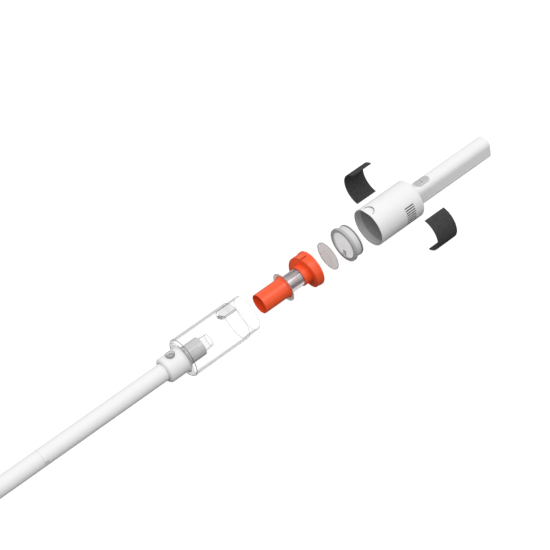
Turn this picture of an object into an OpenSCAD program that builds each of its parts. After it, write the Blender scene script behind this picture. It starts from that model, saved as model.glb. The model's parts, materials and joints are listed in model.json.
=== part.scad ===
// Cordless stick vacuum cleaner, drawn taken apart along its own axis.
// X runs from the wand to the handle, Z is up, and the shells lie on the floor at z = 0.

/* [Shells] */
// Outer radius of the dust cup and of the motor body
shell_r = 37; // [34:0.5:40]
// Wall of the motor body
shell_wall = 1.4; // [1:0.1:2]
// Length of the motor body
body_len = 104; // [98:1:115]
// Radius of the rounded rear edge of the motor body
body_round = 4; // [2:0.5:6]
// Wall of the motor body's rear face
rear_wall = 2; // [1.5:0.1:2.5]

/* [Wand] */
// Outer radius of the wand
wand_r = 16; // [14:0.5:17]
// Wall of the wand
wand_wall = 1.2; // [0.8:0.1:1.6]
// Length of the upper wand outside the collar
upper_wand_len = 261; // [180:1:320]
// Length of the lower wand outside its end spigot
lower_wand_len = 261; // [180:1:320]
// How far the wand goes into the collar
wand_insertion = 34; // [28:1:36]
// Half the length of the sleeve that joins the two wands
joiner_half = 36; // [25:1:50]
// Wall of the sleeve that joins the two wands
joiner_wall = 1.4; // [1:0.1:2]
// Radius of the end spigot, which a floor head takes
spigot_r = 14.5; // [12:0.5:15]
// Length of the end spigot
spigot_len = 28; // [20:1:40]
// Width of the keys that stop the wands turning
wand_key_w = 5; // [3:0.5:7]
// Length of the keys that stop the wands turning
wand_key_len = 7; // [5:0.5:10]

/* [Collar] */
// Outer radius of the collar
collar_r = 23.5; // [22.5:0.5:25]
// Length of the collar
collar_len = 39.6; // [36:0.2:46]
// Radius of the collar where it flares out to meet the cup
flare_r = 27.1; // [26:0.1:28]
// Length of that flare
flare_len = 5.7; // [4:0.1:7]
// Radius of the collar's rounded front edge
collar_round = 5; // [3:0.5:6]
// Radius of the release button
button_r = 7.6; // [5:0.1:8]
// Distance from the collar's front edge to the button's centre
button_in = 19.9; // [16:0.1:23]
// Travel of the release button
button_travel = 1.5; // [0.8:0.1:1.6]

/* [Dust cup] */
// Length of the dust cup up to its shoulder
cup_len = 120.1; // [105:1:150]
// Wall of the dust cup
cup_wall = 2.2; // [1.6:0.1:2.6]
// Radius of the cup's rounded front edge
cup_round = 5.5; // [4:0.5:10]
// Outer radius of the rim that goes into the motor body
rim_r = 34.6; // [32.5:0.1:34.6]
// Wall of that rim
rim_wall = 1.3; // [1:0.1:1.4]
// Length of that rim
rim_len = 25.3; // [18:0.1:27]

/* [Inlet] */
// Outer radius of the inlet duct
duct_r = 17.4; // [16.4:0.1:17.5]
// Wall of the inlet duct
duct_wall = 1.5; // [1:0.1:2]
// Length of the inlet duct inside the cup
duct_len = 40.8; // [36:0.2:46]
// Radius of the nozzle at the duct
nozzle_r0 = 13.6; // [12:0.1:14]
// Radius of the nozzle at its open end
nozzle_r1 = 11.9; // [9:0.1:12]
// Length of the nozzle beyond the duct
nozzle_len = 19; // [12:1:24]
// Radius of the rubber flap
flap_r = 9; // [7:0.5:10]

/* [Cup latch] */
// Length of the latch
latch_len = 28; // [24:1:30]
// Width of the latch
latch_w = 17; // [12:0.5:18]
// Travel of the latch
latch_travel = 3; // [1:0.1:3.4]
// Width of the recess for the latch
recess_w = 23; // [21:0.5:24]
// Height of the recess floor below the top of the shell
recess_depth = 4; // [3.6:0.1:4.2]

/* [Cyclone] */
// Outer radius of the cyclone tube
tube_r = 18.9; // [18.7:0.1:19.6]
// Wall of the cyclone tube
tube_wall = 1.2; // [0.8:0.05:1.2]
// Length of the cyclone tube up to its flange's rear face
tube_len = 57.3; // [48:0.1:66]
// Radius of the flange at the end of the tube
flange_r = 21.6; // [20.6:0.1:24]
// Length over which the tube flares out to the flange
flare_run = 12.4; // [8:0.1:16]
// Radius of the thin skirt
skirt_r = 27.7; // [24:0.1:29]
// Outer radius of the steel mesh screen
screen_r = 16.9; // [15.5:0.1:17]
// Visible length of the steel mesh screen
screen_len = 31.6; // [25:0.1:38]
// Outer radius of the cyclone head
head_r = 33; // [30:0.1:33]
// Length of the cyclone head from the ramp's foremost point to the lip
head_len = 24; // [22:0.5:30]
// How far the spiral ramp climbs in one turn
ramp_rise = 18.6; // [12:0.1:19]
// Radius of the lip at the rear of the head
lip_r = 34.1; // [33.5:0.1:34.2]
// Length of that lip
lip_len = 5.4; // [4:0.1:7]
// Outer radius of the pipe inside the mesh screen
riser_r = 12.5; // [10:0.1:13]

/* [Mesh disc] */
// Radius of the mesh disc
disc_r = 27.9; // [25:0.1:28]
// Thickness of the mesh disc
disc_t = 0.8; // [0.6:0.1:1.2]

/* [Filter] */
// Radius of the filter's front flange
filter_flange_r = 33.2; // [31.5:0.1:33.5]
// Thickness of that flange
filter_flange_t = 2.4; // [1.6:0.1:4]
// Length of the band round the flange
filter_band_len = 5.2; // [2.6:0.1:8]
// Outer radius of the filter's ring
filter_r = 30.2; // [29:0.1:31]
// Depth of the whole filter
filter_depth = 21.4; // [18:0.1:24]
// Radius of the opening in the filter's front
filter_open_r = 26.5; // [24:0.1:27]
// Number of pleats across the filter
pleat_n = 18; // [10:1:24]

/* [Motor] */
// Radius of the fan wheel
fan_r = 24; // [20:0.5:24]
// Number of fan blades
blade_n = 9; // [5:1:13]
// Outer radius of the motor can
motor_r = 20.5; // [18:0.5:22]
// Length of the motor can
motor_len = 19; // [16:0.5:19.5]
// Radius of the motor shaft
shaft_r = 2; // [1.5:0.1:2.5]

/* [Handle] */
// Length of the handle outside the motor body
handle_len = 186.4; // [184:1:230]
// Width of the handle
handle_w = 31.2; // [30:0.2:34]
// Height of the handle
handle_h = 40; // [40:0.2:44]
// Radius of the handle's lower corners
handle_round = 8.5; // [6:0.1:10]
// Radius of the handle's upper corners
handle_top_round = 13; // [8:0.1:13]
// Wall of the handle
handle_wall = 1.5; // [1.2:0.1:1.5]
// Thickness of the cap on the end of the handle
end_cap_t = 4; // [2:0.1:4]
// Radius of a battery cell
cell_r = 9.15; // [8.8:0.05:9.15]
// Length of a battery cell
cell_len = 65; // [60:0.5:65]
// Radius of the charging socket's hole
jack_r = 2.9; // [1.8:0.1:3.2]
// Depth of the charging socket's hole
jack_len = 8; // [6:0.5:9]

/* [Keys] */
// Length of the oblong that the two keys fill
keys_len = 33; // [26:1:34]
// Width of that oblong
keys_w = 18; // [14:0.5:19]
// Distance from the motor body's rear face to the keys
keys_gap = 12; // [10.5:0.1:14]
// Travel of each key
key_travel = 1; // [0.5:0.1:1.2]
// Distance from the motor body's rear face to the row of lights
lights_gap = 8.8; // [7:0.1:9]
// Distance between two lights
lights_pitch = 4.4; // [3.4:0.1:5]

/* [Vents] */
// Slots on each side of the motor body
vent_n = 9; // [5:2:11]
// Angle between two slots
vent_pitch = 7.4; // [6:0.1:8]
// Length of a slot
vent_len = 20.8; // [14:0.2:24]
// Width of a slot
vent_w = 2; // [1.2:0.1:2.4]
// Distance from the mouth of the motor body to the slots
vent_x = 62; // [58:0.5:66]

/* [Foam pads] */
// Outer radius of a foam pad
pad_r = 34.7; // [32:0.1:36]
// Thickness of a foam pad
pad_t = 2; // [1.5:0.1:4]
// Length of a foam pad
pad_len = 46.6; // [30:0.2:50]
// Half the angle that a foam pad spans
pad_half_angle = 82; // [60:1:84]
// Distance from the machine's axis to the centre of a foam pad's arc
pad_out = 90.4; // [80:0.1:120]

/* [Layout] */
// Gap from the filter to the mouth of the motor body
filter_gap = 39.3; // [20:0.1:60]
// Gap from the mesh disc to the filter
disc_gap = 35.3; // [15:0.1:50]
// Gap from the cyclone to the mesh disc
cyclone_gap = 37.9; // [15:0.1:50]
// Gap from the dust cup to the cyclone
cup_gap = 28.3; // [10:0.1:50]

/* [Clearances] */
// Gap between parts that come apart
seat = 0.3; // [0.2:0.05:0.35]
// Radial gap of a running fit
running = 0.05; // [0.02:0.01:0.08]

/* [Hidden] */
$fn = 96;
BIG = 200;
OVER = 1;

// Places along the axis, measured from the mouth of the motor body.
skirt_t = 1;
head_lead = 1.6;
filter_x = -filter_gap - filter_depth;
disc_x = filter_x - disc_gap - disc_t;
cyclone_x = disc_x - cyclone_gap;
lip_x = cyclone_x - lip_len;
head_x = lip_x - head_len;
flange_x = head_x - head_lead - screen_len - skirt_t;
tube_x = flange_x - tube_len;
rim_x = tube_x - cup_gap;
shoulder_x = rim_x - rim_len;
cup_x = shoulder_x - cup_len;
collar_x = cup_x - collar_len;
wand_top_x = collar_x + wand_insertion;
seam_x = collar_x - upper_wand_len;
wand_end_x = seam_x - lower_wand_len;
front_x = wand_end_x - spigot_len;
handle_x = body_len + handle_len;
x_mid = (front_x + handle_x) / 2;
axis_z = shell_r;

// What slides into what: the cup's shoulder ends up flush with the mouth, and each part stops on the next.
cup_shift = -shoulder_x - seat;
cyclone_shift = rim_x + cup_shift + seat - lip_x;
filter_seat_x = cyclone_x + cyclone_shift + seat + filter_depth;
bulkhead_x = filter_seat_x + seat;
disc_recess = disc_t + seat;
disc_rim_w = 1.2;
disc_ledge_w = 2;

// The filter's details.
filter_wall = 1.6;
filter_lip_t = 1.5;
filter_lip_w = 3.5;
media_inset = 4;
pleat_depth = 6;
gasket_in = 4;
gasket_w = 1.6;
gasket_stand = 0.5;
tab_angle = 172;
tab_w = 7;
tab_len = 13;
tab_t = 0.8;

// The cyclone head's spiral: where it starts, where it ends and the groove along its top.
neck_r = tube_r + 0.3;
skirt_drop = 2.4;
flange_web = 1.6;
screen_wall = 0.5;
riser_wall = 1.2;
screen_lap = 0.2;
ramp_start = 226.5;
ramp_base_x = head_x + ramp_rise + 0.4;
riser_lap = 1;
riser_len = ramp_base_x + riser_lap - flange_x + flange_web;
slot_w = 3.4;
slot_depth = 2.2;
slot_half_angle = asin(slot_w / 2 / head_r);
slot_end_gap = 3;
slot_edge = 0.2;
ramp_gap = 0.1;
ramp_turn = 358;

// The motor body's inside.
bore_r = shell_r - shell_wall;
mouth_r = rim_r + 0.4;
mouth_ring_x = 0.8;
mouth_lip = 0.4;
scoop_tail = 1;
scoop_drop = 0.5;
vent_cut = 6;
screw_dip = 1.2;
mouth_ring_len = 13.2;
mouth_seal_len = 1.2;
bulkhead_t = 2.5;
bulkhead_hole_r = 14;
rib_w = 2;
carrier_x = bulkhead_x + bulkhead_t;
carrier_r = 31.5;
carrier_wall = 1.5;
carrier_window_w = 8;
shroud_wall = 1.4;
fan_gap = 0.6;
shroud_r = fan_r + fan_gap + shroud_wall;
shroud_front_t = 1.5;
shroud_len = 12.8;
fan_x = carrier_x + 2.8;
fan_len = 9.5;
shroud_eye_r = 12;
blade_lean = 18;
fan_plate_t = 1.5;
fan_hub_r = 5;
blade_t = 1;
fan_room = 14;
end_frame_x = carrier_x + fan_room;
end_frame_t = 2;
frame_hole_n = 6;
frame_hole_r = 2.5;
can_x = end_frame_x + end_frame_t;
can_wall = 1.5;
cap_skin = 0.2;
bearing_r = 5;
bearing_len = 3;
can_boss_r = bearing_r + 1.5;
rotor_r = 11;
rotor_inset = 3;
stator_inset = 2;
winding_end = 4;
air_gap = 0.4;
shaft_end_inset = 1.6;
mount_len = 4;
mount_x = can_x + (motor_len - mount_len) / 2;
mount_hole_r = 3;
mount_hole_n = 6;
board_t = 1.6;
flange_lap = 2.4;
flange_t = 2;
board_gap = 1.4;
board_x = body_len - rear_wall - flange_t - board_gap - board_t;
carrier_len = board_x - carrier_x;

// The handle's inside.
sleeve_x = body_len - rear_wall - flange_t;
sleeve_end_x = handle_x - end_cap_t;
keys_x = body_len + keys_gap;
top_z = handle_h / 2;
key_top_z = top_z - 0.2;
key_t = 2.8;
key_stem_r = 2;
switch_in = 5;
switch_z = top_z - handle_wall - switch_in;
switch_h = 1.9;
switch_side = 6;
key_board_z = switch_z - board_t;
key_board_end = 2;
key_dish_r = 16;
key_dish_depth = 0.6;
key_stem_gap = 0.1;
key_stem_z = switch_z + switch_h + key_travel + key_stem_gap;
cap_step = 1.4;
cap_inset = 1;
light_n = 3;
key_board_w = 22;
key_board_over = 5;
key_board_len = keys_len + key_board_over;
jack_in = 14;
cell_gap = 1;
cell_play = 0.05;
cell_rows = floor((sleeve_end_x - keys_x - key_board_len) / (cell_len + cell_gap));
cells_x = sleeve_end_x - cell_rows * (cell_len + cell_gap);
jack_x = keys_x + jack_in;
jack_wall = 1.5;
jack_body_r = jack_r + jack_wall;
light_r = 0.9;
light_len = 3;

// The cup's front, its latch and the inlet.
cup_floor = 2.5;
cup_arc_end = acos((cup_floor - cup_round) / (cup_round - cup_wall));
cup_bore_r = shell_r - cup_wall;
duct_hole_r = duct_r + 0.1;
duct_flange_r = 22.5;
duct_flange_t = 2;
duct_tab_turn = 16;
duct_tab_w = 14;
duct_tab_len = 24;
duct_tab_t = 0.4;
duct_bore_r = duct_r - duct_wall;
duct_x = cup_x + cup_floor;
duct_end_x = cup_x + duct_len;
nozzle_wall = 1.2;
nozzle_root = 5;
nozzle_end_x = duct_end_x + nozzle_len;
recess_z = shell_r - recess_depth;
recess_floor_t = 1.3;
latch_lift = 0.1;
latch_rear = 1.4;
latch_drop = 0.6;
latch_bore_z = recess_z + 1.4;
latch_rib_t = 1.3;
latch_rib_w = 0.72;
latch_rib_at = 0.53;
latch_rib_step = 0.17;
latch_x = shoulder_x - latch_len - latch_rear;
recess_x = latch_x - latch_travel - seat;
latch_bore_r = 1.1;
latch_spring_r = 0.8;
latch_spring_len = 9;
rib_h = 0.7;
scoop_len = 16.4;
scoop_floor_z = shell_r - 1.8;
scoop_floor_t = 0.9;
scoop_key_w = 16.4;
rim_key_len = rim_len - seat / 2;
rim_key_z = scoop_floor_z - scoop_floor_t - seat;

// The collar's button, catch and screws.
collar_bore_r = wand_r + running;
entry_r = wand_r + 1.6;
entry_len = 2.4;
button_x = collar_x + button_in;
button_top_z = collar_r - 1.3;
button_t = 2.1;
button_stem_r = 1.8;
button_spring_r = 3.2;
button_spring_h = 0.8;
button_pocket_z = button_top_z - button_t - button_travel - button_spring_h - seat;
button_stem_z = button_pocket_z + 0.5;
catch_len = 8;
catch_t = 2.4;
catch_w = wand_key_w - 0.2;
catch_x = wand_top_x - catch_len + 0.5;
duct_gap = 0.2;
button_dish_r = 25;
button_dish_depth = 0.8;
collar_screw_turn = 30;
wand_bore_r = wand_r - wand_wall;
joiner_r = wand_bore_r - running;
joiner_bore_r = joiner_r - joiner_wall;
seal_groove_t = 1.2;
spigot_wall = 2;
spigot_root = 20;
seal_x = collar_x + entry_len + 2;
seal_len = 3;
screw_r = 1.3;
screw_head_r = 2.2;
screw_head_t = 1.2;
screw_len = 9;
collar_screw_n = 3;
collar_screw_circle = 20.2;
handle_screw_y = handle_w / 2 + 0.9;
handle_screw_z = 10;

// The foam pads' front edge.
pad_shift = 3.8;
pad_x = vent_x + vent_len / 2 + pad_shift - pad_len / 2;

// The flap valve inside the duct.
flap_in = 25;
flap_x = duct_end_x - flap_in;
flap_t = 1.2;
flap_arm_w = 7;
flap_lug_t = 2;
flap_lug_y = flap_arm_w / 2 + 2.5;
flap_pin_r = 0.8;
flap_pin_z = flap_r + 1.6;
flap_eye_r = 1.6;
flap_seat_t = 1.5;
flap_lap = 1;

function arc(x, r, rad, a0, a1, n) =
    [for (i = [0:n]) let (a = a0 + (a1 - a0) * i / n) [x + rad * cos(a), r + rad * sin(a)]];

// The spiral ramp climbs fast at first and then ever more slowly, as a share of one turn.
function ramp_share(s) = 1 - pow(1 - s, 1.5);

module place() {
    translate([-x_mid, 0, axis_z]) children();
}

module along_x(x) {
    translate([x, 0, 0]) rotate([0, 90, 0]) children();
}

// Outlines are given as [x, radius] and are turned about the machine's axis.
module lathe(outline) {
    rotate([0, 90, 0]) rotate_extrude() polygon([for (p = outline) [p[1], p[0]]]);
}

module rod(x, len, r) {
    along_x(x) cylinder(h = len, r = r);
}

module ring(x, len, r_out, r_in) {
    difference() {
        rod(x, len, r_out);
        rod(x - OVER, len + 2 * OVER, r_in);
    }
}

// An upright prism over an oblong along X with round ends, or with only its front end round.
module oblong(x, len, w, z0, z1, round_rear = true) {
    translate([0, 0, z0]) linear_extrude(z1 - z0) union() {
        translate([x + w / 2, 0]) circle(r = w / 2);
        translate([x + w / 2, -w / 2]) square([len - (round_rear ? w : w / 2), w]);
        if (round_rear) translate([x + len - w / 2, 0]) circle(r = w / 2);
    }
}

// A rectangle of width w and height h with corners of radius r below and of radius top above.
module rounded_section(w, h, r, top) {
    union() {
        translate([top - h / 2, -w / 2]) square([h - r - top, w]);
        translate([0, r - w / 2]) square([h / 2, w - 2 * r]);
        translate([-h / 2, top - w / 2]) square([h / 2, w - 2 * top]);
        for (b = [-1, 1]) {
            translate([h / 2 - r, b * (w / 2 - r)]) circle(r = r);
            translate([top - h / 2, b * (w / 2 - top)]) circle(r = top);
        }
    }
}

// A length of the handle's section: less is how far it lies inside the outer skin.
module handle_bar(x, len, less) {
    along_x(x) linear_extrude(len)
        rounded_section(handle_w - 2 * less, handle_h - 2 * less, handle_round - less, handle_top_round - less);
}

// Wand ------------------------------------------------------------------

module wand_tube(x, len) {
    ring(x, len, wand_r, wand_bore_r);
}

module lower_wand_tube() {
    color("white") place() wand_tube(wand_end_x, lower_wand_len);
}

module wand_joiner() {
    color("gainsboro") place() union() {
        ring(seam_x - joiner_half, 2 * joiner_half, joiner_r, joiner_bore_r);
        intersection() {
            translate([seam_x, -wand_r, -wand_key_w / 2 + running])
                cube([wand_key_len - seat, wand_wall + joiner_wall, wand_key_w - 2 * running]);
            ring(seam_x, wand_key_len, wand_r, joiner_bore_r);
        }
    }
}

module wand_end_spigot() {
    color("gainsboro") place() union() {
        ring(front_x, spigot_len, spigot_r, spigot_r - spigot_wall);
        ring(wand_end_x, spigot_root, wand_bore_r, spigot_r - spigot_wall);
    }
}

module upper_wand_tube() {
    color("white") place() difference() {
        wand_tube(seam_x, wand_top_x - seam_x);
        translate([seam_x - OVER, -wand_r - OVER, -wand_key_w / 2])
            cube([wand_key_len + OVER, wand_wall + 2 * OVER, wand_key_w]);
        translate([wand_top_x - catch_len, -wand_key_w / 2, wand_bore_r - OVER])
            cube([catch_len + OVER, wand_key_w, wand_wall + 2 * OVER]);
    }
}

// Collar ----------------------------------------------------------------

module neck_collar() {
    color("white") place() difference() {
        lathe(concat(
            [[collar_x, collar_bore_r], [collar_x, collar_r - collar_round]],
            arc(collar_x + collar_round, collar_r - collar_round, collar_round, 180, 90, 8),
            [for (i = [0:8]) let (s = i / 8)
                [cup_x - flare_len * (1 - s), collar_r + (flare_r - collar_r) * (1 - sqrt(1 - s * s))]],
            [[cup_x, collar_bore_r]]
        ));
        rod(collar_x - OVER, entry_len + OVER, entry_r);
        translate([button_x, 0, button_pocket_z]) cylinder(h = BIG, r = button_r + seat);
        translate([button_x, 0, wand_r]) cylinder(h = button_pocket_z, r = button_stem_r + seat);
        translate([wand_top_x - catch_len + seat, -wand_key_w / 2, 0])
            cube([BIG, wand_key_w, collar_bore_r + catch_t]);
        ring(seal_x, seal_len, wand_r + running + seal_groove_t, OVER);
        rod(wand_top_x + duct_gap, BIG, duct_hole_r);
        for (i = [0:collar_screw_n - 1])
            rotate([i * 360 / collar_screw_n - collar_screw_turn, 0, 0])
                translate([0, 0, collar_screw_circle]) rod(cup_x - screw_len, BIG, screw_r);
    }
}

module collar_button() {
    color("darkgray") place() translate([button_x, 0, 0]) union() {
        difference() {
            translate([0, 0, button_top_z - button_t]) cylinder(h = button_t, r = button_r);
            translate([0, 0, button_top_z + button_dish_r - button_dish_depth]) sphere(r = button_dish_r);
        }
        translate([0, 0, button_stem_z]) cylinder(h = button_top_z - button_t - button_stem_z, r = button_stem_r);
    }
}

module collar_button_spring() {
    color("silver") place() translate([button_x, 0, button_pocket_z]) difference() {
        cylinder(h = button_spring_h, r = button_spring_r);
        translate([0, 0, -OVER]) cylinder(h = BIG, r = button_stem_r + seat);
    }
}

module wand_catch() {
    color("silver") place() union() {
        translate([catch_x, -catch_w / 2, collar_bore_r]) cube([catch_len - 1, catch_w, catch_t]);
        translate([catch_x, -catch_w / 2, wand_bore_r + 0.2]) cube([catch_len - 2, catch_w, catch_t]);
    }
}

module wand_seal() {
    color("dimgray") place()
        ring(seal_x, seal_len, wand_r + running + seal_groove_t, collar_bore_r);
}

module screw() {
    union() {
        cylinder(h = screw_len, r = screw_r);
        translate([0, 0, screw_len]) cylinder(h = screw_head_t, r = screw_head_r);
    }
}

module collar_screws() {
    color("silver") place() for (i = [0:collar_screw_n - 1])
        rotate([i * 360 / collar_screw_n - collar_screw_turn, 0, 0])
            translate([0, 0, collar_screw_circle]) along_x(duct_x + duct_flange_t - screw_len) screw();
}

// Dust cup --------------------------------------------------------------

module latch_recess(grow, z0) {
    oblong(recess_x - grow, shoulder_x - recess_x + grow + OVER, recess_w + 2 * grow, z0, BIG, false);
}

module dust_cup() {
    color("aliceblue", 0.5) place() difference() {
        union() {
            lathe(concat(
                [[cup_x, duct_hole_r], [cup_x, shell_r - cup_round]],
                arc(cup_x + cup_round, shell_r - cup_round, cup_round, 180, 90, 10),
                [[shoulder_x, shell_r], [shoulder_x, rim_r], [rim_x, rim_r],
                 [rim_x, rim_r - rim_wall], [shoulder_x - cup_wall, rim_r - rim_wall],
                 [shoulder_x - cup_wall - 1, cup_bore_r]],
                arc(cup_x + cup_round, shell_r - cup_round, cup_round - cup_wall, 90, cup_arc_end, 8),
                [[duct_x, cup_bore_r - cup_round], [duct_x, duct_hole_r]]
            ));
            intersection() {
                latch_recess(recess_floor_t, recess_z - recess_floor_t);
                rod(cup_x, shoulder_x - cup_x, shell_r);
            }
        }
        latch_recess(0, recess_z);
        translate([rim_x - rim_key_len, -scoop_key_w / 2 - seat, rim_key_z])
            cube([BIG, scoop_key_w + 2 * seat, BIG]);
        for (i = [0:collar_screw_n - 1])
            rotate([i * 360 / collar_screw_n - collar_screw_turn, 0, 0])
                translate([0, 0, collar_screw_circle]) rod(cup_x - OVER, BIG, screw_r);
    }
}

module cup_latch() {
    color("darkgray") place() difference() {
        union() {
            intersection() {
                oblong(latch_x, latch_len + latch_rear, latch_w, recess_z + latch_lift, recess_z + BIG, false);
                rod(latch_x, latch_len + latch_rear, shell_r - latch_drop);
            }
            for (i = [0, 1])
                translate([latch_x + latch_len * (latch_rib_at + latch_rib_step * i),
                           -latch_w * latch_rib_w / 2, recess_z + latch_lift])
                    cube([latch_rib_t, latch_w * latch_rib_w, recess_depth - latch_drop + rib_h - latch_lift]);
        }
        translate([0, 0, latch_bore_z]) rod(latch_x - OVER, latch_spring_len + OVER + seat, latch_bore_r);
    }
}

module latch_spring() {
    color("silver") place() translate([0, 0, latch_bore_z]) rod(recess_x, latch_spring_len, latch_spring_r);
}

// Inlet -----------------------------------------------------------------

module inlet_duct() {
    color("darkgray") place() difference() {
        union() {
            rod(wand_top_x + seat, duct_end_x - wand_top_x - seat, duct_r);
            rod(duct_x, duct_flange_t, duct_flange_r);
            intersection() {
                rotate([duct_tab_turn, 0, 0])
                    translate([duct_x + duct_flange_t, -duct_tab_w / 2, 0]) cube([duct_tab_len, duct_tab_w, BIG]);
                rod(duct_x, BIG, duct_r + duct_tab_t);
            }
        }
        rod(wand_top_x - OVER, BIG, duct_bore_r);
        for (i = [0:collar_screw_n - 1])
            rotate([i * 360 / collar_screw_n - collar_screw_turn, 0, 0])
                translate([0, 0, collar_screw_circle]) rod(cup_x, BIG, screw_r);
    }
}

module inlet_nozzle() {
    color("aliceblue", 0.5) place() lathe([
        [duct_end_x - nozzle_root, duct_bore_r - nozzle_wall], [duct_end_x - nozzle_root, duct_bore_r],
        [duct_end_x, duct_bore_r], [duct_end_x, nozzle_r0], [nozzle_end_x, nozzle_r1],
        [nozzle_end_x, nozzle_r1 - nozzle_wall], [duct_end_x - nozzle_wall, nozzle_r0 - nozzle_wall],
        [duct_end_x - nozzle_wall, duct_bore_r - nozzle_wall],
    ]);
}

module flap_seat() {
    color("gray") place() difference() {
        union() {
            ring(flap_x - flap_seat_t - seat, flap_seat_t, duct_bore_r, flap_r - flap_lap);
            for (s = [-1, 1]) intersection() {
                translate([flap_x - seat - OVER / 2, s * flap_lug_y - flap_lug_t / 2, flap_pin_z - flap_eye_r])
                    cube([2 * flap_eye_r + seat + OVER / 2, flap_lug_t, BIG]);
                rod(flap_x - flap_seat_t, BIG, duct_bore_r);
            }
        }
        translate([flap_x + flap_eye_r, -BIG / 2, flap_pin_z]) rotate([-90, 0, 0]) cylinder(h = BIG, r = flap_pin_r);
    }
}

module flap_pin() {
    color("silver") place()
        translate([flap_x + flap_eye_r, -flap_lug_y - flap_lug_t / 2, flap_pin_z]) rotate([-90, 0, 0])
            cylinder(h = 2 * flap_lug_y + flap_lug_t, r = flap_pin_r);
}

module inlet_flap() {
    color("dimgray") place() difference() {
        union() {
            rod(flap_x, flap_t, flap_r);
            translate([flap_x, -flap_arm_w / 2, 0]) cube([flap_t, flap_arm_w, flap_pin_z]);
            translate([flap_x + flap_eye_r, -flap_arm_w / 2, flap_pin_z]) rotate([-90, 0, 0])
                cylinder(h = flap_arm_w, r = flap_eye_r);
        }
        translate([flap_x + flap_eye_r, -BIG / 2, flap_pin_z]) rotate([-90, 0, 0])
            cylinder(h = BIG, r = flap_pin_r + running);
    }
}

// Cyclone ---------------------------------------------------------------

module cyclone_tube() {
    color("orangered") place() lathe(concat(
        [[tube_x, tube_r - tube_wall], [tube_x, tube_r]],
        [for (i = [0:8]) let (s = i / 8)
            [flange_x - flange_web - flare_run * (1 - s), tube_r + (flange_r - tube_r) * (1 - sqrt(1 - s * s))]],
        [[flange_x, flange_r], [flange_x, riser_r], [flange_x - flange_web, riser_r],
         [flange_x - flange_web, tube_r - tube_wall]]
    ));
}

module cyclone_skirt() {
    color("lightgray", 0.6) place() lathe([
        [flange_x, screen_r], [flange_x, flange_r], [flange_x - skirt_drop, skirt_r],
        [flange_x - skirt_drop + skirt_t, skirt_r], [flange_x + skirt_t, flange_r], [flange_x + skirt_t, screen_r],
    ]);
}

module mesh_screen() {
    color("silver") place() ring(flange_x, head_x + screen_lap - flange_x, screen_r, screen_r - screen_wall);
}

module riser_pipe() {
    color("orangered") place()
        ring(flange_x - flange_web, riser_len, riser_r, riser_r - riser_wall);
}

// A ring whose front face climbs round the axis like a spiral stair without steps, with a groove along its top.
module volute_ramp() {
    angles = concat(
        [for (i = [0:18]) ramp_start + (90 + slot_half_angle - ramp_start) * i / 18],
        [90 + slot_half_angle - slot_edge, 90 - slot_half_angle + slot_edge],
        [for (i = [0:30]) 90 - slot_half_angle + (ramp_start - ramp_turn - 90 + slot_half_angle) * i / 30]
    );
    last = len(angles) - 1;
    function outer(a) = abs(a - 90) < slot_half_angle - slot_edge / 2 ? head_r - slot_depth : head_r;
    function at(a, r, x) = [x, -r * cos(a), r * sin(a)];
    points = [for (a = angles) let (x = head_x + ramp_rise * ramp_share((ramp_start - a) / 360)) each [
        at(a, neck_r + ramp_gap, x), at(a, outer(a), x),
        at(a, outer(a), ramp_base_x), at(a, neck_r + ramp_gap, ramp_base_x)
    ]];
    sides = [for (i = [0:last - 1], j = [0:3]) let (m = 4 * i + j, n = 4 * i + (j + 1) % 4)
        each [[m, n, n + 4], [m, n + 4, m + 4]]];
    color("orangered") place()
        polyhedron(points = points, faces = concat(sides, [[3, 2, 1, 0]], [[for (j = [0:3]) 4 * last + j]]));
}

module cyclone_head() {
    color("orangered") place() difference() {
        union() {
            ring(head_x - head_lead, lip_x + OVER - head_x, neck_r, screen_r);
            ring(ramp_base_x, lip_x + OVER - ramp_base_x, head_r, riser_r);
            ring(lip_x, lip_len, lip_r, disc_r - disc_ledge_w);
        }
        rod(cyclone_x - disc_recess, BIG, disc_r + seat);
        translate([ramp_base_x - OVER, -slot_w / 2, head_r - slot_depth])
            cube([slot_end_gap + OVER, slot_w, BIG]);
    }
}

// Mesh disc -------------------------------------------------------------

module prefilter_mesh() {
    color("tan") place() rod(disc_x + disc_t / 4, disc_t / 2, disc_r - disc_rim_w);
}

module prefilter_rim() {
    color("tan") place() ring(disc_x, disc_t, disc_r, disc_r - disc_rim_w);
}

// Filter ----------------------------------------------------------------

module filter_frame() {
    color("lightgray") place() union() {
        ring(filter_x, filter_flange_t, filter_flange_r, filter_open_r);
        ring(filter_x, filter_band_len, filter_flange_r, filter_r - filter_wall);
        ring(filter_x, filter_depth, filter_r, filter_r - filter_wall);
        ring(filter_x + filter_depth - filter_lip_t, filter_lip_t, filter_r, filter_r - filter_lip_w);
    }
}

module filter_media() {
    media_r = filter_r - filter_wall - running;
    pitch = 2 * media_r / pleat_n;
    front = filter_x + media_inset;
    rear = filter_x + filter_depth - filter_lip_t;
    color("whitesmoke") place() intersection() {
        rod(front, rear - front, media_r);
        translate([0, 0, -media_r]) rotate([90, 0, 0]) linear_extrude(2 * media_r, center = true)
            polygon(concat(
                [[front, 0], [front, 2 * media_r]],
                [for (i = [2 * pleat_n:-1:0]) [rear - (i % 2) * pleat_depth, i * pitch / 2]]
            ));
    }
}

module filter_gasket() {
    color("dimgray") place()
        ring(filter_x + filter_depth - gasket_in, gasket_w, filter_r + gasket_stand, filter_r);
}

module filter_tab() {
    color("silver") place() rotate([-tab_angle, 0, 0])
        translate([filter_x + filter_flange_t, -tab_w / 2, filter_r - filter_wall - seat - tab_len])
            cube([tab_t, tab_w, tab_len]);
}

// Motor body ------------------------------------------------------------

module vent_slots() {
    for (side = [-1, 1], i = [0:vent_n - 1])
        rotate([side * (90 + (i - (vent_n - 1) / 2) * vent_pitch), 0, 0])
            translate([vent_x, -vent_w / 2, shell_r - vent_cut]) cube([vent_len, vent_w, BIG]);
}

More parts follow.
